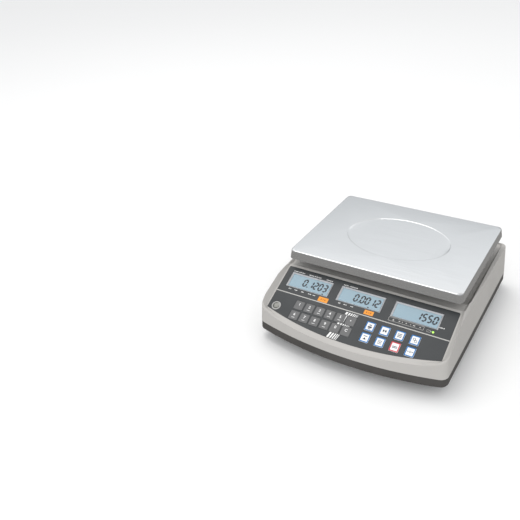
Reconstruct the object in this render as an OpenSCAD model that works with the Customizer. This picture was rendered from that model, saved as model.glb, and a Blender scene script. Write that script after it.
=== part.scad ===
// Bench counting scale: stainless pan on a single point load cell, a two-part
// moulded housing, a sloped control panel with three displays and twenty keys,
// and four levelling feet. Millimetres, +X right, +Y back, +Z up, front at -Y.

/* [Housing] */
// Overall width of the housing
body_w = 320; // [312:1:326]
// Overall depth of the housing
body_d = 350; // [346:1:356]
// Height of the seam between the two housings
seam_z = 33; // [32:0.5:33]
// Height of the underside of the lower housing
base_z = 19; // [18:0.5:20]
// Plan radius of the bowed front
front_r = 600; // [560:10:640]
// Plan radius of the front corners
corner_r = 14; // [12:1:18]
// Plan radius of the back corners
back_r = 16; // [12:1:20]
// Wall thickness of the mouldings
wall = 3; // [2.6:0.1:3.2]

/* [Panel] */
// Slope of the control panel in degrees
panel_deg = 22.8; // [22:0.1:23.5]
// Height of the top edge of the control panel
panel_z = 92.5; // [92:0.25:93]
// Width of the keypad overlay
overlay_w = 295; // [290:1:296]
// Travel of a key
key_travel = 0.5; // [0.3:0.05:0.5]
// Width of a number key
num_w = 15.8; // [14:0.2:16.2]
// Width of a function key
fn_w = 14.8; // [14:0.2:16]

/* [Pan] */
// Width of the pan at its top fold
pan_w = 294; // [288:1:296]
// Depth of the pan at its top fold
pan_d = 225; // [218:1:226]
// Height of the pan's flat rim above the table
pan_top = 125; // [124:0.5:127]
// Height of the pan's skirt
skirt_h = 15.2; // [13:0.2:15.4]
// Thickness of the pan's sheet
sheet = 1.0; // [0.8:0.1:1.2]

/* [Hidden] */
pan_y = 44.5;
oval_h = 0.8;
draft = 0.061;
fcy = -body_d/2 + front_r;
py0 = -67.5;

// number keys: two rows of six; function keys: two rows of four
num_u = [-96.2, -77.9, -59.6, -41.3, -23, -4.7];
fn_u = [27.8, 51.9, 76, 100.1];
num_v = [-66.6, -85.8];
fn_v = [-65.6, -85.8];
lcd_u = [-98.2, -6.2, 87.2];
lcd_v = -24;
feet = [[-118, -112], [118, -112], [-118, 142], [118, 142]];
screws = [[-150, -98], [150, -98], [-150, 30], [150, 30], [-150, 156], [150, 156]];
cell_x = 50;

// ---- plan outlines ----
function arc(cx, cy, r, a0, a1, n) = [for (i = [0:n]) let (a = a0 + (a1 - a0)*i/n) [cx + r*cos(a), cy + r*sin(a)]];
function fy(fr, w2, cr) = fcy - sqrt((fr - cr)*(fr - cr) - (w2 - cr)*(w2 - cr));
function fphi(fr, w2, cr) = asin((w2 - cr)/(fr - cr));
// housing outline drawn in by t
function outline(t) = let (fr = front_r - t, w2 = body_w/2 - t, cr = corner_r - t, br = back_r - t, b = body_d/2 - t,
  yc = fy(fr, w2, cr), ph = fphi(fr, w2, cr)) concat(
  arc(0, fcy, fr, -90 - ph, -90 + ph, 28),
  arc(w2 - cr, yc, cr, -90 + ph, 0, 8),
  arc(w2 - br, b - br, br, 0, 90, 7),
  arc(-w2 + br, b - br, br, 90, 180, 7),
  arc(-w2 + cr, yc, cr, 180, 270 - ph, 8));
function rrect(w, d, r, n) = concat(arc(w/2 - r, d/2 - r, r, 0, 90, n), arc(-w/2 + r, d/2 - r, r, 90, 180, n),
  arc(-w/2 + r, -d/2 + r, r, 180, 270, n), arc(w/2 - r, -d/2 + r, r, 270, 360, n));
function ellipse(a, b, n) = [for (i = [0:n - 1]) [a*cos(360*i/n), b*sin(360*i/n)]];
// side profile of the shoulders, front to back
function sh(y) = 95.5 - 41.2*pow(max(0, (-45 - y)/113.5), 3.2);
sh_pts = concat([for (y = [-158.5:6.5:-48]) [y, sh(y)]], [[-45, 95.5], [190, 85.4]]);

// places children in the panel's frame: x across, y up the slope, z out of the face
module on_panel() translate([0, py0, panel_z]) rotate([panel_deg, 0, 0]) children();
module along_x(w) rotate([90, 0, 90]) translate([0, 0, -w/2]) linear_extrude(height = w) children();
module rbox(w, d, h, r) linear_extrude(height = h) polygon(rrect(w, d, r, 5));
module drafted(t, z0, h) translate([0, 0, z0]) linear_extrude(height = h, scale = 1 - h*draft/(body_w/2)) polygon(outline(t));

// lower arc of the overlay in the panel's frame
ov_r = 530;
ov_side = -84.5;
ov_low = ov_side - (ov_r - sqrt(ov_r*ov_r - overlay_w*overlay_w/4));
module overlay_2d(g) {
  h = overlay_w/2 + g;
  a = asin(h/(ov_r + g));
  polygon(concat(arc(h - 2.5, -2.5 + g, 2.5, 0, 90, 4), arc(-h + 2.5, -2.5 + g, 2.5, 90, 180, 4),
    arc(0, ov_low + ov_r, ov_r + g, 270 - a, 270 + a, 30)));
}
// outline of the panel's recess between the shoulders
module recess_2d() {
  r = 14; w2 = 149.5; fr = 396; cy = -115.5 + fr + 45;
  yc = cy - sqrt((fr - r)*(fr - r) - (w2 - r)*(w2 - r));
  ph = asin((w2 - r)/(fr - r));
  polygon(concat([[w2, 56], [-w2, 56]], arc(-w2 + r, yc, r, 180, 270 - ph, 6), arc(0, cy, fr, 270 - ph, 270 + ph, 28),
    arc(w2 - r, yc, r, 270 + ph, 360, 6)));
}
module half_space(p, n) {
  translate(p) rotate(a = acos(n[2]/norm(n)), v = [-n[1], n[0], 0]) translate([-400, -400, 0]) cube([800, 800, 60]);
}

module port_cuts() {
  // power switch, supply socket, two data sockets through the back wall
  translate([108 - 8.5, 160, 50 - 10.9]) cube([17, 20, 21.8]);
  translate([74, 180, 50]) rotate([90, 0, 0]) cylinder(h = 20, r = 4.6, $fn = 40);
  for (x = [24, -46]) {
    translate([x - 9.9, 160, 50 - 5.4]) cube([19.8, 20, 10.8]);
    for (s = [-12.5, 12.5]) translate([x + s, 180, 50]) rotate([90, 0, 0]) cylinder(h = 20, r = 2.9, $fn = 32);
  }
}

module upper_shell() {
  difference() {
    intersection() {
      drafted(0.4, seam_z, 70);
      along_x(400) polygon(concat([[190, 20], [-190, 20], [-190, panel_z + (-190 - py0)*tan(panel_deg)],
        [-158.5, sh_pts[0][1]]], [for (i = [1:len(sh_pts) - 1]) sh_pts[i]]));
    }
    // softened outer edge of the shoulders and of the back
    for (i = [2:3:len(sh_pts) - 2]) for (s = [-1, 1]) {
      p = sh_pts[i]; q = sh_pts[i + 1];
      m = (q[1] - p[1])/(q[0] - p[0]);
      half_space([s*(body_w/2 - draft*(p[1] - seam_z) - 3.2), p[0], p[1]], [s*1.1, -m, 1]);
    }
    half_space([0, 168.5, 86.4], [0, 1.1, 1]);
    // control panel, ledge and pan well
    on_panel() translate([0, -45, 0]) linear_extrude(height = 24, scale = 1.14) recess_2d();
    translate([0, 170, 0]) rotate([90, 0, 0]) linear_extrude(height = 170 - py0 - 4)
      polygon([[-149.5, panel_z], [149.5, panel_z], [168, panel_z + 18], [-168, panel_z + 18]]);
    translate([0, 64, 84]) linear_extrude(height = 20, scale = 1.08) polygon(rrect(294, 208, 8, 5));
    // inside of the shell
    intersection() {
      drafted(wall, seam_z - 1, 66);
      along_x(400) polygon([[190, 20], [-190, 20], [-190, panel_z - 3.5 + (-190 - py0)*tan(panel_deg)],
        [py0 + 1.4, panel_z - 3.5], [-46, panel_z - 3.5], [-38, 81], [190, 81]]);
    }
    translate([-95, 169, 37.5]) cube([230, 20, 28.5]);
  }
}

module upper_housing() color([0.80, 0.79, 0.77]) difference() {
  union() {
    upper_shell();
    // flat wall behind the sockets
    difference() {
      translate([-97, 165.5, 36.5]) cube([234, 5.5, 32.5]);
      translate([-95, 169, 37.5]) cube([230, 20, 28.5]);
    }
    for (p = screws) {
      translate([p[0], p[1], seam_z + 0.4]) cylinder(h = 25, r = 5, $fn = 36);
      translate([p[0] > 0 ? p[0] : p[0] - 6.6, p[1] - 2, seam_z + 4.5]) cube([6.6, 4, 20]);
    }
    translate([cell_x, pan_y, 80.5]) cylinder(h = 7, r = 20, $fn = 64);
    for (x = [-75, 75], y = [-54.5, 54.5]) translate([x, pan_y + y, 78]) cylinder(h = 10, r = 6, $fn = 36);
  }
  for (p = screws) translate([p[0], p[1], seam_z - 1]) cylinder(h = 22, r = 1.8, $fn = 24);
  translate([cell_x, pan_y, 70]) cylinder(h = 30, r = 17, $fn = 64);
  for (x = [-75, 75], y = [-54.5, 54.5]) translate([x, pan_y + y, 70]) cylinder(h = 30, r = 2.55, $fn = 24);
  port_cuts();
  on_panel() {
    translate([0, 0, -1.2]) linear_extrude(height = 3) overlay_2d(0.15);
    for (u = lcd_u) translate([u, lcd_v, -10]) translate([-38.5, -14.5, 0]) cube([77, 29, 20]);
    for (u = num_u, v = num_v) translate([u, v, -10]) cylinder(h = 20, r = 3.2, $fn = 24);
    for (u = fn_u, v = fn_v) translate([u, v, -10]) cylinder(h = 20, r = 3.2, $fn = 24);
    translate([-133.2, -78.8, -10]) cylinder(h = 20, r = 6.2, $fn = 36);
    translate([120, -44, -10]) cylinder(h = 20, r = 1.7, $fn = 24);
  }
}

module lower_housing() color([0.30, 0.29, 0.285]) {
  difference() {
    union() {
      difference() {
        translate([0, 0, base_z]) linear_extrude(height = seam_z - base_z, scale = (body_w/2 - 0.6)/(body_w/2)) polygon(outline(0));
        translate([0, 0, base_z + 2.5]) linear_extrude(height = 40) polygon(outline(4.9));
      }
      // register lip inside the seam
      translate([0, 0, seam_z - 4]) linear_extrude(height = 7) difference() { polygon(outline(3.5)); polygon(outline(4.9)); }
      for (p = feet) translate([p[0], p[1], base_z + 2]) cylinder(h = 15, r = 11, $fn = 48);
      for (p = screws) translate([p[0], p[1], base_z + 2]) cylinder(h = seam_z - base_z - 2, r = 4.9, $fn = 36);
      // battery bay walls
      translate([-54, 74.5, base_z + 2]) cube([108, 77, 34]);
      for (x = [-80, 80], y = [-50, 50]) translate([x, pan_y + y, base_z + 2]) cylinder(h = 3.5, r = 6, $fn = 36);
      for (x = [-80, 80], y = [-50, 50]) translate([x, pan_y + y, base_z + 2]) cylinder(h = 7.6, r = 2, $fn = 24);
      for (x = [-98, -15], y = [-112, -34]) translate([x, y, base_z + 2]) cylinder(h = 14.9, r = 4, $fn = 24);
      // two skids run between the feet
      for (x = [-60, 60]) translate([x - 1.5, -140, base_z + 2]) cube([3, 110, 6]);
    }
    translate([-52, 76.5, base_z - 1]) cube([104, 73, 60]);
    for (p = feet) translate([p[0], p[1], base_z - 1]) cylinder(h = 40, r = 4.6, $fn = 36);
    for (p = feet) translate([p[0], p[1], base_z + 5]) cylinder(h = 40, r = 7.05, $fn = 48);
    for (p = screws) translate([p[0], p[1], base_z - 1]) cylinder(h = 40, r = 1.9, $fn = 24);
    for (p = screws) translate([p[0], p[1], base_z - 1]) cylinder(h = 4.5, r = 3.7, $fn = 32);
    // vent slots
    for (i = [0:5]) translate([70 + i*6, -60, base_z - 1]) cube([2.4, 36, 8]);
  }
}

module pan_body(g, z0, z1) {
  w = pan_w - 2*g; d = pan_d - 2*g; f = 4*(z1 - z0)/15.2;
  translate([0, pan_y, z0]) linear_extrude(height = z1 - z0, scale = [w/(w + f), d/(d + f)]) polygon(rrect(w + f, d + f, 9 - g, 8));
}
module weighing_pan() color([0.80, 0.81, 0.82]) {
  lv = pan_top;
  bot = lv - skirt_h;
  difference() {
    union() {
      difference() {
        union() {
          pan_body(0, bot, lv - 2);
          translate([0, pan_y, lv - 2]) linear_extrude(height = 1.3, scale = [(pan_w - 1)/pan_w, (pan_d - 1)/pan_d]) polygon(rrect(pan_w, pan_d, 9, 8));
          translate([0, pan_y, lv - 0.7]) linear_extrude(height = 0.7, scale = [(pan_w - 3.6)/(pan_w - 1), (pan_d - 3.6)/(pan_d - 1)]) polygon(rrect(pan_w - 1, pan_d - 1, 8.5, 8));
        }
        pan_body(sheet, bot - 0.01, lv - 2.2);
        translate([0, pan_y, lv - 2.3]) linear_extrude(height = 2.3 - sheet, scale = [(pan_w - 3.4)/(pan_w - 2), (pan_d - 3.4)/(pan_d - 2)]) polygon(rrect(pan_w - 2.1, pan_d - 2.1, 7.8, 8));
      }
      // the pressed oval shows below the sheet too
      translate([0, pan_y, lv - sheet - oval_h]) linear_extrude(height = oval_h + 0.1, scale = [91.1/89.3, 65.9/64.1]) polygon(ellipse(89.3, 64.1, 96));
    }
    translate([0, pan_y, lv - oval_h]) linear_extrude(height = oval_h + 0.1, scale = [90.1/88.3, 64.9/63.1]) polygon(ellipse(88.3, 63.1, 96));
  }
}

module pan_support() color([0.62, 0.63, 0.64]) {
  ps = [[-110, -80], [110, -80], [-110, 80], [110, 80]];
  difference() {
    translate([0, pan_y, 0]) union() {
      translate([0, 0, 93]) linear_extrude(height = 8) union() {
        for (p = [ps[1], ps[3]]) rotate([0, 0, atan2(p[1], p[0])]) translate([-134, -7]) square([268, 14]);
        translate([-30, -24]) square([108, 48]);
      }
      translate([cell_x, 0, 90]) cylinder(h = 5, r = 15, $fn = 48);
      for (p = ps) translate([p[0], p[1], 94]) cylinder(h = 26.2, r = 9, $fn = 40);
    }
    for (x = [-8, 8]) translate([cell_x + x, pan_y, 80]) {
      cylinder(h = 40, r = 3.05, $fn = 32);
      translate([0, 0, 16.8]) cylinder(h = 20, r = 5.2, $fn = 32);
    }
  }
}
module pan_pads() color([0.10, 0.10, 0.11]) for (x = [-110, 110], y = [-80, 80])
  translate([x, pan_y + y, 120.2]) { cylinder(h = pan_top - sheet - 120.2, r = 7.5, $fn = 40); }

module load_cell() color([0.77, 0.78, 0.80]) difference() {
  translate([-65, pan_y - 14, 34]) cube([130, 28, 22]);
  for (x = [-13, 13]) translate([x, pan_y + 20, 45]) rotate([90, 0, 0]) cylinder(h = 40, r = 8.5, $fn = 48);
  translate([-13, pan_y - 20, 41]) cube([26, 40, 8]);
  for (x = [-58, -42]) translate([x, pan_y, 33]) cylinder(h = 14, r = 3.05, $fn = 32);
  for (x = [42, 58]) translate([x, pan_y, 43]) cylinder(h = 14, r = 3.05, $fn = 32);
}
module load_cell_plate() color([0.60, 0.61, 0.62]) difference() {
  union() {
    translate([-92, pan_y - 60, 24.6]) cube([184, 87, 3]);
    translate([-65, pan_y - 14, 27.5]) cube([30, 28, 6.5]);
    for (x = [-92, 68]) translate([x, pan_y + 26, 24.6]) cube([24, 36, 3]);
  }
  for (x = [-80, 80], y = [-50, 50]) translate([x, pan_y + y, 20]) cylinder(h = 12, r = 2.1, $fn = 24);
  for (x = [-58, -42]) translate([x, pan_y, 20]) cylinder(h = 20, r = 3.05, $fn = 32);
}
module load_cell_spacer() color([0.77, 0.78, 0.80]) difference() {
  union() {
    translate([cell_x - 15, pan_y - 14, 56]) cube([30, 28, 6]);
    translate([cell_x, pan_y, 61]) cylinder(h = 29, r = 14, $fn = 48);
  }
  for (x = [-8, 8]) translate([cell_x + x, pan_y, 50]) cylinder(h = 45, r = 3.05, $fn = 32);
}
module cap_screw(l) {
  cylinder(h = l, r = 3, $fn = 32);
  difference() {
    translate([0, 0, -2.6]) cylinder(h = 2.6, r = 5, $fn = 32);
    translate([0, 0, -3]) cylinder(h = 1.8, r = 2.3, $fn = 6);
  }
}
module load_cell_screws() color([0.30, 0.30, 0.31]) for (x = [-58, -42]) translate([x, pan_y, 24.6]) cap_screw(21);
module support_screws() color([0.30, 0.30, 0.31]) for (x = [-8, 8]) translate([cell_x + x, pan_y, 96.8]) rotate([180, 0, 0]) cap_screw(50);
module overload_stops() color([0.55, 0.55, 0.56]) for (x = [-75, 75], y = [-54.5, 54.5]) translate([x, pan_y + y, 72]) difference() {
  cylinder(h = 20.5, r = 2.5, $fn = 28);
  translate([0, 0, -1]) cylinder(h = 4, r = 1.4, $fn = 6);
}

module keypad_overlay() color([0.33, 0.34, 0.35]) on_panel() difference() {
  translate([0, 0, -1.2]) linear_extrude(height = 1.5) overlay_2d(0);
  for (u = lcd_u) translate([u - 38.4, lcd_v - 14.4, -5]) cube([76.8, 28.8, 10]);
  for (u = num_u, v = num_v) translate([u, v, -5]) rbox(num_w + 0.7, 16.7, 10, 1.6);
  for (u = fn_u, v = fn_v) translate([u, v, -5]) rbox(fn_w + 0.7, 16.7, 10, 1.6);
  translate([-133.2, -78.8, -5]) cylinder(h = 10, r = 6.2, $fn = 36);
  translate([120, -44, -5]) cylinder(h = 10, r = 1.7, $fn = 24);
}
module display_bezels() color([0.70, 0.71, 0.72]) on_panel() for (u = lcd_u) translate([u, lcd_v, 0]) difference() {
  translate([-38.1, -14.1, -3.3]) cube([76.2, 28.2, 3.6]);
  translate([-35.6, -12, -5]) cube([71.2, 24, 10]);
  translate([0, 0, -1.1]) linear_extrude(height = 2, scale = [78/71.2, 30.6/24]) square([71.2, 24], center = true);
}
module lcd(i) color([0.66, 0.76, 0.82]) on_panel() translate([lcd_u[i], lcd_v, 0]) {
  translate([-35.4, -11.8, -3.6]) cube([70.8, 23.6, 2.3]);
  translate([-38.2, -14.2, -8.2]) cube([76.4, 28.4, 4.7]);
}
module lcd_weight() lcd(0);
module lcd_unit() lcd(1);
module lcd_count() lcd(2);
module display_board() color([0.10, 0.35, 0.20]) on_panel() {
  translate([-138, -46, -10]) cube([270, 42, 1.6]);
  translate([-52, -30, -13]) cube([12, 12, 3.1]);
  translate([30, -20, -12]) cube([18, 6, 2.1]);
}
module keypad_board() color([0.10, 0.35, 0.20]) on_panel() {
  translate([-110, -96, -8.8]) cube([225, 38, 1.6]);
  for (u = num_u, v = num_v) translate([u - 3, v - 3, -7.3]) cube([6, 6, 1.7]);
  for (u = fn_u, v = fn_v) translate([u - 3, v - 3, -7.3]) cube([6, 6, 1.7]);
}
module main_board() color([0.10, 0.35, 0.20]) difference() {
  union() {
    translate([-104, -118, 36]) cube([95, 90, 1.6]);
    translate([-90, -90, 37.5]) cube([14, 14, 2.2]);
    translate([-60, -60, 37.5]) cube([10, 10, 2]);
    translate([-100, -46, 37.5]) cube([22, 8, 8]);
    translate([-40, -110, 37.5]) cube([24, 7, 7]);
    for (p = [[-30, -50], [-30, -64], [-93, -101]]) translate([p[0], p[1], 37.5]) cylinder(h = 9, r = 4, $fn = 28);
  }
  for (x = [-98, -15], y = [-112, -34]) translate([x, y, 30]) cylinder(h = 12, r = 1.6, $fn = 20);
}
// a key: cap in the overlay and a stem down to its switch
module key(u, v, w) on_panel() translate([u, v, 0]) {
  translate([0, 0, -0.5]) rbox(w, 16, 0.9, 1.3);
  translate([0, 0, 0.4]) linear_extrude(height = 0.4, scale = [(w - 0.8)/w, 15.2/16]) polygon(rrect(w, 16, 1.3, 5));
  translate([0, 0, -5]) cylinder(h = 4.6, r = 2.6, $fn = 28);
}
module num_key(i, j) color([0.50, 0.50, 0.51]) key(num_u[i], num_v[j], num_w);
module fn_key(i, j) color([0.93, 0.94, 0.95]) key(fn_u[i], fn_v[j], fn_w);
module level_ring() color([0.88, 0.88, 0.86]) on_panel() translate([-133.2, -78.8, 0.3]) difference() {
  cylinder(h = 0.8, r1 = 7.9, r2 = 7.5, $fn = 48);
  translate([0, 0, -1]) cylinder(h = 4, r = 5.9, $fn = 48);
}
module level_vial() color([0.45, 0.50, 0.20]) on_panel() translate([-133.2, -78.8, -6]) {
  cylinder(h = 6.7, r = 5.8, $fn = 48);
  translate([0, 0, 6.6]) cylinder(h = 0.35, r1 = 5.6, r2 = 4.4, $fn = 48);
}
module status_led() color([0.45, 0.85, 0.20]) on_panel() translate([120, -44, -6]) {
  cylinder(h = 6.2, r = 1.5, $fn = 32);
  translate([0, 0, 6.1]) cylinder(h = 0.7, r1 = 1.45, r2 = 0.8, $fn = 32);
}

module foot_disc(i) color([0.09, 0.09, 0.10]) translate([feet[i][0], feet[i][1], 0]) difference() {
  union() {
    cylinder(h = 2, r1 = 16, r2 = 18, $fn = 64);
    translate([0, 0, 2]) cylinder(h = 6, r = 18, $fn = 64);
    translate([0, 0, 8]) cylinder(h = 2, r1 = 18, r2 = 15, $fn = 64);
    translate([0, 0, 9.9]) cylinder(h = 3.1, r = 8.5, $fn = 48);
  }
  for (a = [0:30:330]) rotate([0, 0, a]) translate([19.4, 0, 2.4]) cylinder(h = 12, r = 2.6, $fn = 24);
  translate([0, 0, 4]) cylinder(h = 12, r = 4.05, $fn = 36);
}
module foot_stud(i) color([0.70, 0.70, 0.71]) translate([feet[i][0], feet[i][1], 4.3]) cylinder(h = 38, r = 4, $fn = 36);
module foot_inserts() color([0.75, 0.62, 0.30]) for (p = feet) translate([p[0], p[1], base_z + 5.1]) difference() {
  cylinder(h = 12, r = 7, $fn = 48);
  translate([0, 0, -1]) cylinder(h = 20, r = 4.06, $fn = 36);
}
module battery() color([0.16, 0.16, 0.18]) {
  translate([-50.5, 78, 24]) cube([101, 70, 44]);
  translate([-50.5, 78, 67.9]) cube([101, 12, 3]);
  for (x = [-36, 36]) translate([x - 2.4, 100, 67.9]) cube([4.8, 0.8, 6.3]);
}
module battery_cover() color([0.30, 0.29, 0.285]) difference() {
  translate([-51.6, 76.9, base_z]) cube([103.2, 72.2, 2.5]);
  for (i = [0:4]) translate([-16, 82 + i*3.4, base_z - 0.01]) cube([32, 1.6, 0.9]);
  translate([-9, 141, base_z - 0.01]) cube([18, 5, 1.4]);
}
module switch_frame() color([0.08, 0.08, 0.085]) translate([108, 0, 50]) difference() {
  union() {
    translate([-10, 169.02, -12.2]) cube([20, 1.6, 24.4]);
    translate([-8.3, 157, -10.7]) cube([16.6, 13, 21.4]);
    for (x = [-4, 4]) translate([x - 0.4, 149, -3]) cube([0.8, 8.2, 6]);
  }
  translate([-6.8, 159.5, -8.9]) cube([13.6, 20, 17.8]);
  translate([-12, 166.6, 0]) rotate([0, 90, 0]) cylinder(h = 24, r = 1.06, $fn = 24);
}
module switch_rocker() color([0.12, 0.12, 0.125]) translate([108, 166.6, 50]) {
  rotate([-8, 0, 0]) along_x(12.8) polygon([[3.6, -8.2], [2.7, 0], [3.6, 8.2], [0.5, 8.2], [-3, 5], [-3, -5], [0.5, -8.2]]);
  translate([-8, 0, 0]) rotate([0, 90, 0]) cylinder(h = 16, r = 1, $fn = 24);
}
module dc_socket() color([0.07, 0.07, 0.075]) translate([74, 0, 50]) {
  difference() {
    union() {
      translate([0, 170.6, 0]) rotate([90, 0, 0]) cylinder(h = 1.55, r = 6, $fn = 48);
      translate([0, 169.6, 0]) rotate([90, 0, 0]) cylinder(h = 13, r = 4.5, $fn = 40);
    }
    translate([0, 180, 0]) rotate([90, 0, 0]) cylinder(h = 20, r = 2.9, $fn = 36);
  }
  translate([0, 169, 0]) rotate([90, 0, 0]) cylinder(h = 11, r = 1.05, $fn = 24);
}
// nine way D socket: flange, shell and two jack posts
module dsub(x) translate([x, 0, 50]) difference() {
  union() {
    translate([-15.4, 169.02, -6.2]) cube([30.8, 0.9, 12.4]);
    translate([0, 174.6, 0]) rotate([90, 0, 0]) linear_extrude(height = 14)
      polygon([[-9.2, 3.4], [-8.4, 4.2], [8.4, 4.2], [9.2, 3.4], [7.8, -3.6], [7, -4.2], [-7, -4.2], [-7.8, -3.6]]);
    for (s = [-12.5, 12.5]) translate([s, 173.4, 0]) rotate([90, 0, 0]) cylinder(h = 4, r = 2.6, $fn = 6);
    for (s = [-12.5, 12.5]) translate([s, 169.8, 0]) rotate([90, 0, 0]) cylinder(h = 8, r = 2.4, $fn = 32);
  }
  translate([0, 175, 0]) rotate([90, 0, 0]) linear_extrude(height = 3.2)
    polygon([[-8.6, 3.2], [-8, 3.7], [8, 3.7], [8.6, 3.2], [7.3, -3.3], [6.7, -3.7], [-6.7, -3.7], [-7.3, -3.3]]);
  for (s = [-12.5, 12.5]) translate([s, 174, 0]) rotate([90, 0, 0]) cylinder(h = 8, r = 1.25, $fn = 24);
  for (i = [-2:2]) translate([i*2.76, 172.5, 1.4]) rotate([90, 0, 0]) cylinder(h = 4, r = 0.5, $fn = 16);
  for (i = [-2:1]) translate([i*2.76 + 1.38, 172.5, -1.4]) rotate([90, 0, 0]) cylinder(h = 4, r = 0.5, $fn = 16);
}
module rs232_socket() color([0.72, 0.73, 0.74]) dsub(24);
module platform_socket() color([0.72, 0.73, 0.74]) dsub(-46);
module housing_screws() color([0.65, 0.65, 0.66]) for (p = screws) translate([p[0], p[1], base_z + 3.5]) {
  cylinder(h = 24, r = 1.7, $fn = 24);
  difference() {
    translate([0, 0, -2.4]) cylinder(h = 2.4, r = 3.4, $fn = 32);
    for (a = [0, 90]) rotate([0, 0, a]) translate([-2.1, -0.45, -2.5]) cube([4.2, 0.9, 1.3]);
  }
}
// internal leads: cell to board, battery to board, sockets to board
module lead(pts, r) for (i = [0:len(pts) - 2]) {
  a = pts[i]; b = pts[i + 1]; d = b - a; l = norm(d);
  translate(a) rotate(a = acos(d[2]/l), v = d[0] == 0 && d[1] == 0 ? [1, 0, 0] : [-d[1], d[0], 0]) cylinder(h = l, r = r, $fn = 16);
  translate(b) sphere(r = r*1.04, $fn = 16);
}
module wiring() color([0.15, 0.15, 0.16]) {
  lead([[-66, pan_y, 45], [-97, pan_y, 45], [-97, -20, 45], [-97, -35.8, 42]], 2);
  lead([[-36, 104.5, 76], [-106, 104.5, 76], [-106, -12, 76], [-106, -12, 52], [-84, -42, 47.6]], 1.6);
  lead([[24, 158, 50], [24, 155, 50], [98, 155, 62], [98, -70, 62], [-14, -70, 62], [-20, -96, 56], [-20, -106, 46.4]], 1.6);
}

weighing_pan();
pan_support();
pan_pads();
load_cell();
load_cell_plate();
load_cell_spacer();
load_cell_screws();
support_screws();
overload_stops();
upper_housing();
lower_housing();
keypad_overlay();
display_bezels();
lcd_weight();
lcd_unit();
lcd_count();
display_board();
keypad_board();
main_board();
num_key(0, 0);  // key_1
num_key(1, 0);  // key_2
num_key(2, 0);  // key_3
num_key(3, 0);  // key_4
num_key(4, 0);  // key_5
num_key(5, 0);  // key_point
num_key(0, 1);  // key_6
num_key(1, 1);  // key_7
num_key(2, 1);  // key_8
num_key(3, 1);  // key_9
num_key(4, 1);  // key_0
num_key(5, 1);  // key_clear
fn_key(0, 0);  // key_print
fn_key(1, 0);  // key_unit
fn_key(2, 0);  // key_preset
fn_key(3, 0);  // key_mode
fn_key(0, 1);  // key_piece_weight
fn_key(1, 1);  // key_piece_count
fn_key(2, 1);  // key_tare
fn_key(3, 1);  // key_zero
level_ring();
level_vial();
status_led();
foot_disc(0);  // foot_disc_fl
foot_disc(1);  // foot_disc_fr
foot_disc(2);  // foot_disc_bl
foot_disc(3);  // foot_disc_br
foot_stud(0);  // foot_stud_fl
foot_stud(1);  // foot_stud_fr
foot_stud(2);  // foot_stud_bl
foot_stud(3);  // foot_stud_br
foot_inserts();
battery();
battery_cover();
switch_rocker();
switch_frame();
dc_socket();
rs232_socket();
platform_socket();
housing_screws();
wiring();
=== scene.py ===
import bpy, bmesh, math
from mathutils import Vector, Matrix


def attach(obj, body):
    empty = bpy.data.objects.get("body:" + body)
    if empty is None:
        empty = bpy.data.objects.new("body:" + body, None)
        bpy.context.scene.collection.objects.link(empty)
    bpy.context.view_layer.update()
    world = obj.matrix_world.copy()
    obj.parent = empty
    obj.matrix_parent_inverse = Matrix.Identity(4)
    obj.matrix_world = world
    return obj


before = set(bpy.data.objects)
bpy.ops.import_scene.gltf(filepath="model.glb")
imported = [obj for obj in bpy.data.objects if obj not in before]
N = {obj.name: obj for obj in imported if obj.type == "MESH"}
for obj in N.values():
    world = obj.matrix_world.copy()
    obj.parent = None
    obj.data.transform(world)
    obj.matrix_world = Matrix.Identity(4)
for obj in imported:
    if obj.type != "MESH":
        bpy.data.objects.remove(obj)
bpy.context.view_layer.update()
MM = 0.001

# ---------------------------------------------------------------- helpers
PDEG = math.radians(22.8)
PANEL = Matrix.Translation((0, -67.5 * MM, 92.5 * MM)) @ Matrix.Rotation(PDEG, 4, "X")
NUM_U = [-96.2, -77.9, -59.6, -41.3, -23.0, -4.7]
FN_U = [27.8, 51.9, 76.0, 100.1]
NUM_V = [-66.6, -85.8]
FN_V = [-65.6, -85.8]
LCD_U = [-98.2, -6.2, 87.2]
LCD_V = -24.0
# height of the display faces above the panel's plane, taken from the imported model
_f = max((PANEL.inverted() @ v.co).z for v in N["lcd_weight"].data.vertices) / MM
LCD_N = round(_f, 2)


def new_obj(name, bm, body, mats, matrix=None, smooth=False):
    """bm holds millimetres; the object comes out in metres in the row frame."""
    bm.normal_update()
    me = bpy.data.meshes.new(name)
    bm.to_mesh(me)
    bm.free()
    me.transform(Matrix.Scale(MM, 4))
    if matrix is not None:
        me.transform(matrix)
    if smooth:
        for p in me.polygons:
            p.use_smooth = True
    ob = bpy.data.objects.new(name, me)
    bpy.context.scene.collection.objects.link(ob)
    for m in (mats if isinstance(mats, (list, tuple)) else [mats]):
        me.materials.append(m)
    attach(ob, body)
    return ob


def slab(bm, pts, z0, z1, mat=0):
    """A closed prism of a counter-clockwise outline."""
    lo = [bm.verts.new((x, y, z0)) for x, y in pts]
    hi = [bm.verts.new((x, y, z1)) for x, y in pts]
    fs = [bm.faces.new(hi), bm.faces.new(lo[::-1])]
    n = len(pts)
    for i in range(n):
        j = (i + 1) % n
        fs.append(bm.faces.new((lo[i], lo[j], hi[j], hi[i])))
    for f in fs:
        f.material_index = mat
    return fs


def rect(cx, cy, w, d, r=0.0, n=4):
    if r <= 0:
        return [(cx - w / 2, cy - d / 2), (cx + w / 2, cy - d / 2), (cx + w / 2, cy + d / 2), (cx - w / 2, cy + d / 2)]
    out = []
    for sx, sy, a0 in ((1, 1, 0), (-1, 1, 90), (-1, -1, 180), (1, -1, 270)):
        for i in range(n + 1):
            a = math.radians(a0 + 90 * i / n)
            out.append((cx + sx * (w / 2 - r) + r * math.cos(a), cy + sy * (d / 2 - r) + r * math.sin(a)))
    return out


def disc(cx, cy, r, n=32):
    return [(cx + r * math.cos(2 * math.pi * i / n), cy + r * math.sin(2 * math.pi * i / n)) for i in range(n)]


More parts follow.
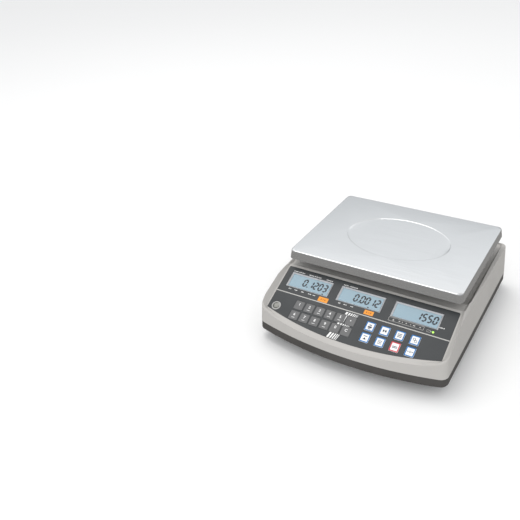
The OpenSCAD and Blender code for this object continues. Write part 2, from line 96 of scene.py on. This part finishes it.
def ring(bm, outer, inner, z0, z1, mat=0):
    """A closed flat frame between two outlines with the same number of points."""
    n = len(outer)
    ol = [bm.verts.new((x, y, z0)) for x, y in outer]
    oh = [bm.verts.new((x, y, z1)) for x, y in outer]
    il = [bm.verts.new((x, y, z0)) for x, y in inner]
    ih = [bm.verts.new((x, y, z1)) for x, y in inner]
    for i in range(n):
        j = (i + 1) % n
        for q in ((ol[i], ol[j], oh[j], oh[i]), (il[j], il[i], ih[i], ih[j]), (oh[i], oh[j], ih[j], ih[i]), (ol[j], ol[i], il[i], il[j])):
            bm.faces.new(q).material_index = mat


def skew(pts, cx, cy, k):
    return [(x + (y - cy) * k, y) for x, y in pts]


# ---------------------------------------------------------------- materials
def mat(name, color, rough=0.5, metal=0.0, spec=0.5, noise=None, bump=None, coat=0.0, coat_rough=0.1, rough_var=None, aniso=0.0,
        emission=None, estr=0.0, alpha=1.0, trans=0.0, ior=1.45, stretch=None):
    m = bpy.data.materials.new(name)
    m.use_nodes = True
    nt = m.node_tree
    b = nt.nodes["Principled BSDF"]
    b.inputs["Base Color"].default_value = (*color, 1)
    b.inputs["Roughness"].default_value = rough
    b.inputs["Metallic"].default_value = metal
    b.inputs["Specular IOR Level"].default_value = spec
    b.inputs["IOR"].default_value = ior
    b.inputs["Coat Weight"].default_value = coat
    b.inputs["Coat Roughness"].default_value = coat_rough
    b.inputs["Anisotropic"].default_value = aniso
    b.inputs["Alpha"].default_value = alpha
    b.inputs["Transmission Weight"].default_value = trans
    if emission:
        b.inputs["Emission Color"].default_value = (*emission, 1)
        b.inputs["Emission Strength"].default_value = estr
    tc = nt.nodes.new("ShaderNodeTexCoord")
    mp = nt.nodes.new("ShaderNodeMapping")
    mp.inputs["Scale"].default_value = stretch or (1, 1, 1)
    nt.links.new(tc.outputs["Object"], mp.inputs["Vector"])
    if noise:
        scale, amount = noise
        n1 = nt.nodes.new("ShaderNodeTexNoise")
        n1.inputs["Scale"].default_value = scale
        n1.inputs["Detail"].default_value = 4
        nt.links.new(mp.outputs["Vector"], n1.inputs["Vector"])
        ramp = nt.nodes.new("ShaderNodeValToRGB")
        lo = tuple(max(0.0, c * (1 - amount)) for c in color)
        hi = tuple(min(1.0, c * (1 + amount)) for c in color)
        ramp.color_ramp.elements[0].color = (*lo, 1)
        ramp.color_ramp.elements[1].color = (*hi, 1)
        ramp.color_ramp.elements[0].position = 0.3
        ramp.color_ramp.elements[1].position = 0.7
        nt.links.new(n1.outputs["Fac"], ramp.inputs["Fac"])
        nt.links.new(ramp.outputs["Color"], b.inputs["Base Color"])
    if rough_var:
        scale, lo, hi = rough_var
        n2 = nt.nodes.new("ShaderNodeTexNoise")
        n2.inputs["Scale"].default_value = scale
        n2.inputs["Detail"].default_value = 3
        nt.links.new(mp.outputs["Vector"], n2.inputs["Vector"])
        mr = nt.nodes.new("ShaderNodeMapRange")
        mr.inputs["From Min"].default_value = 0.3
        mr.inputs["From Max"].default_value = 0.7
        mr.inputs["To Min"].default_value = lo
        mr.inputs["To Max"].default_value = hi
        nt.links.new(n2.outputs["Fac"], mr.inputs["Value"])
        nt.links.new(mr.outputs["Result"], b.inputs["Roughness"])
    if bump:
        scale, strength, dist = bump
        n3 = nt.nodes.new("ShaderNodeTexNoise")
        n3.inputs["Scale"].default_value = scale
        n3.inputs["Detail"].default_value = 2
        nt.links.new(mp.outputs["Vector"], n3.inputs["Vector"])
        bp = nt.nodes.new("ShaderNodeBump")
        bp.inputs["Strength"].default_value = strength
        bp.inputs["Distance"].default_value = dist
        nt.links.new(n3.outputs["Fac"], bp.inputs["Height"])
        nt.links.new(bp.outputs["Normal"], b.inputs["Normal"])
    return m


M = {}
M["steel"] = mat("satin_steel", (0.70, 0.71, 0.72), 0.22, 1.0, noise=(60, 0.016), bump=(45, 0.010, 0.00004), rough_var=(55, 0.20, 0.25), stretch=(0.25, 6, 6))
M["light"] = mat("light_plastic", (0.49, 0.475, 0.455), 0.46, noise=(14, 0.025), bump=(1900, 0.10, 0.0002), rough_var=(30, 0.42, 0.52))
M["dark"] = mat("dark_plastic", (0.070, 0.066, 0.063), 0.55, noise=(20, 0.10), bump=(1700, 0.16, 0.0002), rough_var=(30, 0.5, 0.62))
M["film"] = mat("overlay_film", (0.044, 0.048, 0.051), 0.42, noise=(30, 0.05), bump=(2600, 0.07, 0.0001), rough_var=(24, 0.38, 0.47), spec=0.4)
M["bezel"] = mat("bezel_silver", (0.50, 0.51, 0.53), 0.32, noise=(60, 0.05), bump=(1500, 0.04, 0.0001), rough_var=(60, 0.26, 0.38), metal=0.35)
M["lcd"] = mat("lcd_glass", (0.195, 0.315, 0.39), 0.24, noise=(26, 0.03), rough_var=(50, 0.2, 0.28), coat=0.3, coat_rough=0.08, emission=(0.40, 0.56, 0.68), estr=0.05)
M["lcd_back"] = mat("lcd_body", (0.30, 0.31, 0.32), 0.5, noise=(40, 0.06))
M["digit"] = mat("lcd_segment", (0.006, 0.012, 0.020), 0.35, noise=(80, 0.2))
M["key_grey"] = mat("key_grey", (0.135, 0.136, 0.138), 0.45, noise=(60, 0.06), bump=(2600, 0.06, 0.0001), rough_var=(50, 0.4, 0.5))
M["key_white"] = mat("key_white", (0.88, 0.89, 0.90), 0.40, noise=(60, 0.02), bump=(2600, 0.05, 0.0001), rough_var=(50, 0.36, 0.46))
M["blue"] = mat("print_blue", (0.012, 0.17, 0.46), 0.42, noise=(90, 0.08))
M["red"] = mat("print_red", (0.62, 0.03, 0.05), 0.42, noise=(90, 0.08))
M["orange"] = mat("print_orange", (0.90, 0.33, 0.02), 0.42, noise=(90, 0.07))
M["amber"] = mat("print_amber", (0.52, 0.17, 0.01), 0.45, noise=(90, 0.08))
M["white"] = mat("print_white", (0.88, 0.88, 0.87), 0.45, noise=(90, 0.03))
M["silver"] = mat("print_silver", (0.52, 0.51, 0.49), 0.40, noise=(90, 0.04))
M["ink"] = mat("print_dark", (0.045, 0.055, 0.075), 0.5, noise=(90, 0.1))
M["ring"] = mat("level_ring", (0.40, 0.40, 0.39), 0.34, noise=(60, 0.04), bump=(2000, 0.03, 0.0001))
M["vial"] = mat("level_liquid", (0.060, 0.064, 0.048), 0.12, noise=(120, 0.12), coat=1.0, coat_rough=0.03)
M["bubble"] = mat("level_bubble", (0.40, 0.44, 0.22), 0.10, noise=(120, 0.08), coat=1.0, coat_rough=0.03)
M["led"] = mat("led_lens", (0.30, 0.78, 0.10), 0.25, noise=(90, 0.05), emission=(0.45, 0.95, 0.10), estr=1.4)
M["rubber"] = mat("black_rubber", (0.018, 0.018, 0.019), 0.62, noise=(40, 0.2), bump=(1400, 0.12, 0.0002), rough_var=(40, 0.55, 0.7))
M["blackp"] = mat("black_plastic", (0.020, 0.020, 0.021), 0.34, noise=(40, 0.15), bump=(1700, 0.06, 0.0001), rough_var=(40, 0.3, 0.42))
M["zinc"] = mat("zinc_steel", (0.62, 0.63, 0.64), 0.34, 1.0, noise=(50, 0.06), bump=(600, 0.08, 0.0001), rough_var=(50, 0.28, 0.42))
M["blacksteel"] = mat("black_steel", (0.05, 0.05, 0.055), 0.36, 0.7, noise=(50, 0.12), rough_var=(50, 0.3, 0.45))
M["alloy"] = mat("cast_alloy", (0.55, 0.56, 0.57), 0.48, 1.0, noise=(60, 0.07), bump=(900, 0.25, 0.0002), rough_var=(50, 0.42, 0.56))
M["cell"] = mat("cell_alloy", (0.70, 0.71, 0.73), 0.30, 1.0, noise=(60, 0.04), bump=(400, 0.06, 0.0001), stretch=(0.3, 4, 4))
M["brass"] = mat("insert_brass", (0.75, 0.55, 0.24), 0.34, 1.0, noise=(60, 0.05), rough_var=(60, 0.28, 0.4))
M["pcb"] = mat("circuit_board", (0.02, 0.13, 0.06), 0.36, noise=(60, 0.12), bump=(300, 0.05, 0.0001))
M["battery"] = mat("battery_case", (0.035, 0.035, 0.045), 0.5, noise=(40, 0.12), bump=(1200, 0.08, 0.0001))
M["lead"] = mat("lead_sheath", (0.03, 0.03, 0.034), 0.5, noise=(80, 0.15))

assign = {"weighing_pan": "steel", "pan_support": "alloy", "pan_pads": "rubber", "load_cell": "cell", "load_cell_plate": "zinc", "load_cell_spacer": "cell",
          "load_cell_screws": "blacksteel", "support_screws": "blacksteel", "overload_stops": "zinc", "upper_housing": "light", "lower_housing": "dark",
          "keypad_overlay": "film", "display_bezels": "bezel", "lcd_weight": "lcd", "lcd_unit": "lcd", "lcd_count": "lcd", "display_board": "pcb",
          "keypad_board": "pcb", "main_board": "pcb", "level_ring": "ring", "level_vial": "vial", "status_led": "led", "foot_inserts": "brass",
          "battery": "battery", "battery_cover": "dark", "switch_rocker": "blackp", "switch_frame": "blackp", "dc_socket": "blackp", "rs232_socket": "zinc",
          "platform_socket": "zinc", "housing_screws": "zinc", "wiring": "lead"}
NUM_KEYS = ["key_1", "key_2", "key_3", "key_4", "key_5", "key_point", "key_6", "key_7", "key_8", "key_9", "key_0", "key_clear"]
FN_KEYS = ["key_print", "key_unit", "key_preset", "key_mode", "key_piece_weight", "key_piece_count", "key_tare", "key_zero"]
for k in NUM_KEYS:
    assign[k] = "key_grey"
for k in FN_KEYS:
    assign[k] = "key_white"
for f in ("fl", "fr", "bl", "br"):
    assign["foot_disc_" + f] = "rubber"
    assign["foot_stud_" + f] = "zinc"
for n, o in N.items():
    for ms in o.material_slots:
        ms.material = M[assign[n]]


def round_edges(name, width, segs=3, angle=28):
    """Small moulded radii on a carried-over node, then smooth shading by angle."""
    o = N[name]
    w = o.modifiers.new("weld", "WELD")
    w.merge_threshold = 1e-6
    if width > 0:
        b = o.modifiers.new("edge", "BEVEL")
        b.width = width * MM
        b.segments = segs
        b.limit_method = "ANGLE"
        b.angle_limit = math.radians(angle)
        b.use_clamp_overlap = True
        b.harden_normals = False
    e = o.modifiers.new("smooth", "NODES")
    e.node_group = smooth_group()
    wn = o.modifiers.new("weighted", "WEIGHTED_NORMAL")
    wn.mode = "FACE_AREA"
    wn.weight = 100
    wn.keep_sharp = True


_sg = {}


def smooth_group():
    if "g" in _sg:
        return _sg["g"]
    g = bpy.data.node_groups.new("smooth_by_angle", "GeometryNodeTree")
    g.interface.new_socket("Geometry", in_out="INPUT", socket_type="NodeSocketGeometry")
    g.interface.new_socket("Geometry", in_out="OUTPUT", socket_type="NodeSocketGeometry")
    gi = g.nodes.new("NodeGroupInput")
    go = g.nodes.new("NodeGroupOutput")
    ang = g.nodes.new("GeometryNodeInputMeshEdgeAngle")
    cmp_ = g.nodes.new("FunctionNodeCompare")
    cmp_.data_type = "FLOAT"
    cmp_.operation = "LESS_THAN"
    cmp_.inputs[1].default_value = math.radians(32)
    s = g.nodes.new("GeometryNodeSetShadeSmooth")
    s.domain = "EDGE"
    s2 = g.nodes.new("GeometryNodeSetShadeSmooth")
    s2.domain = "FACE"
    g.links.new(gi.outputs[0], s2.inputs["Geometry"])
    g.links.new(s2.outputs[0], s.inputs["Geometry"])
    g.links.new(ang.outputs["Unsigned Angle"], cmp_.inputs[0])
    g.links.new(cmp_.outputs[0], s.inputs["Shade Smooth"])
    g.links.new(s.outputs[0], go.inputs[0])
    _sg["g"] = g
    return g


for n in N:
    round_edges(n, 0)

# ---------------------------------------------------------------- displays
SEG = {"0": "abcdef", "1": "bc", "2": "abged", "3": "abgcd", "4": "fgbc", "5": "afgcd", "6": "afgcde", "7": "abc", "8": "abcdefg", "9": "abcdfg"}


def seg_digit(bm, ch, x, y, w, h, t, z0, z1):
    """Seven segment figure with bevelled segment ends, lower left corner at x, y before the slant."""
    g = 0.10
    hx, hy = w, h / 2

    def hor(yc):
        return [(x + g, yc), (x + g + t / 2, yc - t / 2), (x + w - g - t / 2, yc - t / 2), (x + w - g, yc), (x + w - g - t / 2, yc + t / 2), (x + g + t / 2, yc + t / 2)]

    def ver(xc, ya, yb):
        return [(xc, ya + g), (xc + t / 2, ya + g + t / 2), (xc + t / 2, yb - g - t / 2), (xc, yb - g), (xc - t / 2, yb - g - t / 2), (xc - t / 2, ya + g + t / 2)]

    parts = {"a": hor(y + h), "g": hor(y + hy), "d": hor(y), "f": ver(x, y + hy, y + h), "b": ver(x + w, y + hy, y + h), "e": ver(x, y, y + hy), "c": ver(x + w, y, y + hy)}
    for s in SEG[ch]:
        slab(bm, skew(parts[s], x, y, 0.10), z0, z1)


def lcd_text(name, text, u, mark):
    """Right aligned read-out with 14 mm figures; mark is the small pointer under them."""
    bm = bmesh.new()
    h, w, t, pitch = 12.4, 5.3, 2.6, 8.6
    y = LCD_V - 5.6
    x = u + mark[0] - w
    z0, z1 = LCD_N + 0.01, LCD_N + 0.07
    for ch in reversed(text):
        if ch == ".":
            slab(bm, rect(x + pitch - 2.0, y - 0.2, 2.1, 2.1, 0.4), z0, z1)
            x -= 2.4
            continue
        seg_digit(bm, ch, x, y, w, h, t, z0, z1)
        x -= pitch
    if mark[1] is not None:
        px, py = mark[1], mark[2]
        slab(bm, [(px, py - 1.5), (px + 1.9, py + 1.2), (px - 1.9, py + 1.2)], z0, z1)
    return new_obj(name, bm, "housing", M["digit"], PANEL)


lcd_text("digits_weight", "0.1203", LCD_U[0], (30.2, -70.5, -35.0))
lcd_text("digits_unit", "0.0012", LCD_U[1], (30.9, 10.2, -34.4))
lcd_text("digits_count", "1550", LCD_U[2], (31.6, None, None))

# ---------------------------------------------------------------- printed graphics on the overlay
TOP = 0.30


def overlay_low(u, g=0.0):
    ov_r = 530.0
    half = 147.5
    low = -84.5 - (ov_r - math.sqrt(ov_r * ov_r - half * half))
    return low + ov_r - math.sqrt((ov_r + g) ** 2 - u * u)


bm = bmesh.new()
slab(bm, rect(0, -50.3, 294.6, 1.5), TOP - 0.02, TOP + 0.05)
new_obj("print_divider", bm, "housing", M["silver"], PANEL)

bm = bmesh.new()
slab(bm, rect(-63.6, -44.6, 17.2, 8.6, 0.7), TOP - 0.02, TOP + 0.04)
slab(bm, rect(16.1, -43.7, 15.6, 7.8, 0.7), TOP - 0.02, TOP + 0.04)
new_obj("print_orange_boxes", bm, "housing", M["orange"], PANEL)
bm = bmesh.new()
for cx, cy in ((-63.6, -44.6), (16.1, -43.7)):
    slab(bm, rect(cx - 3.4, cy, 2.2, 3.0), TOP + 0.03, TOP + 0.07)
    slab(bm, rect(cx, cy, 1.4, 3.0), TOP + 0.03, TOP + 0.07)
    slab(bm, rect(cx + 3.2, cy, 2.6, 3.0), TOP + 0.03, TOP + 0.07)
new_obj("print_orange_marks", bm, "housing", M["amber"], PANEL)


def text_mesh(s, size, cx, cy, z0, z1, bmt, shear=0.0, bold=0.0):
    cu = bpy.data.curves.new("t", "FONT")
    cu.body = s
    cu.size = size
    cu.align_x = "CENTER"
    cu.align_y = "CENTER"
    cu.shear = shear
    cu.offset = bold
    cu.extrude = (z1 - z0) / 2
    cu.resolution_u = 3
    ob = bpy.data.objects.new("t", cu)
    bpy.context.scene.collection.objects.link(ob)
    bpy.context.view_layer.update()
    me = ob.to_mesh()
    me2 = me.copy()
    ob.to_mesh_clear()
    me2.transform(Matrix.Translation((cx, cy, (z0 + z1) / 2)))
    bmt.from_mesh(me2)
    bpy.data.meshes.remove(me2)
    bpy.data.objects.remove(ob)
    bpy.data.curves.remove(cu)


# small white legends: rows of plain ticks stand for the fine print
def ticks(bm, u0, u1, v, h, seed):
    """A row of short bars with uneven lengths."""
    x, i = u0, seed
    while x < u1 - 0.6:
        w = (1.5, 0.9, 1.2, 1.8, 0.8)[i % 5]
        slab(bm, rect(x + w / 2, v + (0.12 if i % 2 else -0.1), w, h * (1.0, 0.8, 0.9)[i % 3]), TOP - 0.02, TOP + 0.04)
        x += w + 0.55
        i += 1


bm = bmesh.new()
for i, (ua, ub) in enumerate(((-135.5, -129), (-127, -116), (-107, -98.5), (-97, -84), (-75, -62.5), (-43, -34), (-32.5, -19))):
    ticks(bm, ua, ub, -7.4, 1.5, i)
for i, u in enumerate((-126.5, -115.5, -103, -90, -81.5)):
    ticks(bm, u - 2.4, u + 2.6, -41.8, 1.4, i)
for i, u in enumerate((-35.5, -26, -14)):
    ticks(bm, u - 2.2, u + 2.4, -41.8, 1.5, i + 2)
ticks(bm, 125.6, 134, -33.2, 1.5, 1)
new_obj("print_legends", bm, "housing", M["white"], PANEL)

# outlined indicator bar under the count display, with its small marks
bm = bmesh.new()
ring(bm, rect(77.0, -42.5, 56.6, 6.8, 0.9), rect(77.0, -42.5, 55.7, 5.9, 0.7), TOP - 0.02, TOP + 0.04)
slab(bm, [(55.2, -44.2), (58.4, -44.2), (56.8, -41.0)], TOP - 0.02, TOP + 0.04)
for u, w in ((66.5, 2.4), (71.2, 1.3), (77.5, 1.8), (84.5, 1.2), (90, 3.6), (99.5, 2.2)):
    slab(bm, rect(u, -42.6, w, 1.5), TOP - 0.02, TOP + 0.04)
ring(bm, rect(113.2, -44.0, 6.0, 3.6, 0.8), rect(113.2, -44.0, 5.2, 2.8, 0.6), TOP - 0.02, TOP + 0.04)
slab(bm, rect(116.9, -44.0, 0.8, 1.6), TOP - 0.02, TOP + 0.04)
new_obj("print_indicator_bar", bm, "housing", M["silver"], PANEL)

# a band of slanted stripes, seen where there are no keys
bm = bmesh.new()
BARS = ((-17.6, 3.3), (-12.6, 2.5), (-8.4, 1.9), (-4.9, 1.5), (-2.0, 1.1), (0.5, 0.8), (2.5, 0.5))
for i, (ua, w) in enumerate(BARS):
    for va, vb in ((-53.0, -57.9), (-74.9, -77.5), (-94.2, None)):
        if vb is None and i > 4:
            continue
        xa = ua + 0.24 * (va + 53.0)
        if vb is None:
            vb = overlay_low(xa - 2.4) + 0.6
        xb = ua + 0.24 * (vb + 53.0)
        slab(bm, [(xb, vb), (xb + w, vb), (xa + w, va), (xa, va)], TOP - 0.02, TOP + 0.10)
for ua, w in ((-14.6, 1.1),):
    for va, vb in ((-58.4, -74.5), (-77.8, -93.8)):
        xa, xb = ua + 0.10 * (va + 58), ua + 0.10 * (vb + 58)
        slab(bm, [(xb, vb), (xb + w, vb), (xa + w, va), (xa, va)], TOP - 0.02, TOP + 0.10)
new_obj("print_stripes", bm, "housing", M["white"], PANEL)

# ---------------------------------------------------------------- keys
KT = 0.80
for i, k in enumerate(NUM_KEYS):
    u = NUM_U[i % 6]
    v = NUM_V[i // 6]
    bm = bmesh.new()
    ch = {"key_point": ".", "key_clear": "C"}.get(k, k[-1])
    if ch == ".":
        slab(bm, disc(u, v + 0.6, 0.95, 20), KT - 0.02, KT + 0.04)
    else:
        text_mesh(ch, 6.6, u, v + 1.6, KT - 0.02, KT + 0.04, bm, bold=0.12)
        if ch in "23456789":
            slab(bm, rect(u, v - 4.0, 5.0, 0.7), KT - 0.02, KT + 0.04)
    new_obj("legend_" + k, bm, k, M["white"], PANEL)


def poly(bm, pts):
    slab(bm, pts, KT - 0.02, KT + 0.05)


def icon(bm, k, u, v):
    if k == "key_print":
        poly(bm, rect(u, v - 1.2, 6.4, 3.0))
        poly(bm, rect(u, v + 2.4, 4.0, 1.6))
        poly(bm, rect(u, v - 4.2, 4.0, 1.2))
    elif k == "key_unit":
        poly(bm, rect(u - 1.8, v, 2.4, 3.6))
        poly(bm, rect(u + 1.8, v, 2.4, 3.6))
    elif k == "key_preset":
        for dy in (2.4, 0, -2.4):
            poly(bm, rect(u, v + dy, 6.6, 1.1))
    elif k == "key_mode":
        ring(bm, disc(u - 1.5, v + 1.5, 2.2, 24), disc(u - 1.5, v + 1.5, 1.5, 24), KT - 0.02, KT + 0.05)
        ring(bm, disc(u + 1.6, v - 1.6, 2.2, 24), disc(u + 1.6, v - 1.6, 1.5, 24), KT - 0.02, KT + 0.05)
    elif k == "key_piece_weight":
        poly(bm, [(u - 2.6, v - 3.4), (u + 2.6, v - 3.4), (u, v + 0.2)])
        poly(bm, rect(u, v + 2.6, 6.0, 1.1))
    elif k == "key_piece_count":
        for dx in (-2.2, 0, 2.2):
            for dy in (-2.6, -0.2, 2.2):
                poly(bm, rect(u + dx, v + dy, 1.3, 1.3))
    elif k == "key_tare":
        poly(bm, rect(u, v + 0.6, 7.6, 1.1))
        poly(bm, rect(u, v - 1.4, 7.6, 1.1))
    elif k == "key_zero":
        ring(bm, disc(u, v, 1.7, 24), disc(u, v, 1.1, 24), KT - 0.02, KT + 0.05)
        for s in (-1, 1):
            pts = [(u + s * 2.2, v), (u + s * 3.6, v + 1.1), (u + s * 3.6, v + 0.35), (u + s * 5.2, v + 0.35), (u + s * 5.2, v - 0.35), (u + s * 3.6, v - 0.35), (u + s * 3.6, v - 1.1)]
            poly(bm, pts if s < 0 else pts[::-1])


for i, k in enumerate(FN_KEYS):
    u = FN_U[i % 4]
    v = FN_V[i // 4]
    bm = bmesh.new()
    ring(bm, rect(u, v, 14.3, 15.5, 1.0), rect(u, v, 11.1, 12.3, 0.5), KT - 0.30, KT + 0.12)
    new_obj("border_" + k, bm, k, M["red"] if k == "key_tare" else M["blue"], PANEL)
    bm = bmesh.new()
    icon(bm, k, u, v)
    new_obj("icon_" + k, bm, k, M["ink"], PANEL)

# ---------------------------------------------------------------- studio
sc = bpy.context.scene
w = bpy.data.worlds.new("studio")
sc.world = w
w.use_nodes = True
nt = w.node_tree
bg = nt.nodes["Background"]
tc = nt.nodes.new("ShaderNodeTexCoord")
sep = nt.nodes.new("ShaderNodeSeparateXYZ")
nt.links.new(tc.outputs["Generated"], sep.inputs[0])
ramp = nt.nodes.new("ShaderNodeValToRGB")
cr = ramp.color_ramp
cr.elements[0].position = 0.0
cr.elements[0].color = (0.36, 0.355, 0.35, 1)
cr.elements[1].position = 0.34
cr.elements[1].color = (0.44, 0.45, 0.46, 1)
for pos, col in ((0.42, (0.48, 0.495, 0.51, 1)), (0.47, (0.57, 0.59, 0.605, 1)), (0.55, (0.95, 0.97, 0.985, 1)),
                 (0.66, (1.0, 1.0, 1.0, 1)), (0.80, (0.66, 0.66, 0.66, 1)), (1.0, (0.56, 0.56, 0.56, 1))):
    e = cr.elements.new(pos)
    e.color = col
nt.links.new(sep.outputs["Z"], ramp.inputs["Fac"])
nt.links.new(ramp.outputs["Color"], bg.inputs["Color"])
bg.inputs["Strength"].default_value = 1.3

floor_mat = mat("studio_floor", (0.93, 0.93, 0.93), 0.9, noise=(0.7, 0.004), spec=0.0)
# the floor is clear from below, so that the underside can be looked at
fnt = floor_mat.node_tree
fout = [n for n in fnt.nodes if n.type == "OUTPUT_MATERIAL"][0]
fgeo = fnt.nodes.new("ShaderNodeNewGeometry")
ftr = fnt.nodes.new("ShaderNodeBsdfTransparent")
fmix = fnt.nodes.new("ShaderNodeMixShader")
fnt.links.new(fgeo.outputs["Backfacing"], fmix.inputs[0])
fnt.links.new(fnt.nodes["Principled BSDF"].outputs[0], fmix.inputs[1])
fnt.links.new(ftr.outputs[0], fmix.inputs[2])
fnt.links.new(fmix.outputs[0], fout.inputs["Surface"])
bm = bmesh.new()
bm.faces.new([bm.verts.new((x, y, -0.02)) for x, y in rect(0, 0, 24000, 24000)])
me = bpy.data.meshes.new("floor")
bm.to_mesh(me)
bm.free()
me.transform(Matrix.Scale(MM, 4))
me.materials.append(floor_mat)
floor = bpy.data.objects.new("floor", me)
sc.collection.objects.link(floor)


def card(name, loc, rot, sx, sy, level):
    """A studio card that only reflections see."""
    m = bpy.data.materials.new(name)
    m.use_nodes = True
    nt = m.node_tree
    nt.nodes.clear()
    em = nt.nodes.new("ShaderNodeEmission")
    em.inputs["Color"].default_value = (*level, 1)
    out = nt.nodes.new("ShaderNodeOutputMaterial")
    nt.links.new(em.outputs[0], out.inputs[0])
    me = bpy.data.meshes.new(name)
    me.from_pydata([(-sx, -sy, 0), (sx, -sy, 0), (sx, sy, 0), (-sx, sy, 0)], [], [(0, 1, 2, 3)])
    me.materials.append(m)
    o = bpy.data.objects.new(name, me)
    o.location = loc
    o.rotation_euler = rot
    o.visible_camera = False
    o.visible_diffuse = False
    o.visible_shadow = False
    o.visible_transmission = False
    sc.collection.objects.link(o)
    return o


# what polished parts see of the floor: a grey card, as the skirt of the pan is mid grey all round
card("card_floor", (0, 0, 0.0004), (0, 0, 0), 2.2, 2.2, (0.33, 0.322, 0.31))


def area(name, loc, target, size, power, color=(1, 1, 1)):
    li = bpy.data.lights.new(name, "AREA")
    li.shape = "RECTANGLE"
    li.size, li.size_y = size
    li.energy = power
    li.color = color
    o = bpy.data.objects.new(name, li)
    o.location = loc
    d = Vector(target) - Vector(loc)
    o.rotation_euler = d.to_track_quat("-Z", "Y").to_euler()
    sc.collection.objects.link(o)
    return o


area("key_light", (-0.75, 0.35, 2.3), (0, 0, 0.05), (1.2, 1.2), 15, (1.0, 0.985, 0.965))
fill = area("fill_light", (0.4, -2.1, 0.75), (0, 0, 0.06), (1.6, 0.7), 9)
fill.visible_glossy = False
sc.view_settings.view_transform = "Standard"

cam = bpy.data.cameras.new("camera")
co = bpy.data.objects.new("camera", cam)
sc.collection.objects.link(co)
az, el, roll = math.radians(31.25), math.radians(32.4), math.radians(-2.78)
back = Vector((math.sin(az) * math.cos(el), -math.cos(az) * math.cos(el), math.sin(el)))
right = (-back).cross(Vector((0, 0, 1))).normalized()
up = right.cross(-back)
r2 = right * math.cos(roll) + up * math.sin(roll)
u2 = -right * math.sin(roll) + up * math.cos(roll)
co.matrix_world = Matrix(((r2.x, u2.x, back.x, 0.33115), (r2.y, u2.y, back.y, -0.82444), (r2.z, u2.z, back.z, 0.67146), (0, 0, 0, 1)))
cam.sensor_width = 36
cam.lens = 628.77 * 36 / 520
cam.shift_x = -40 / 520
cam.clip_start = 0.02
cam.clip_end = 60
sc.camera = co
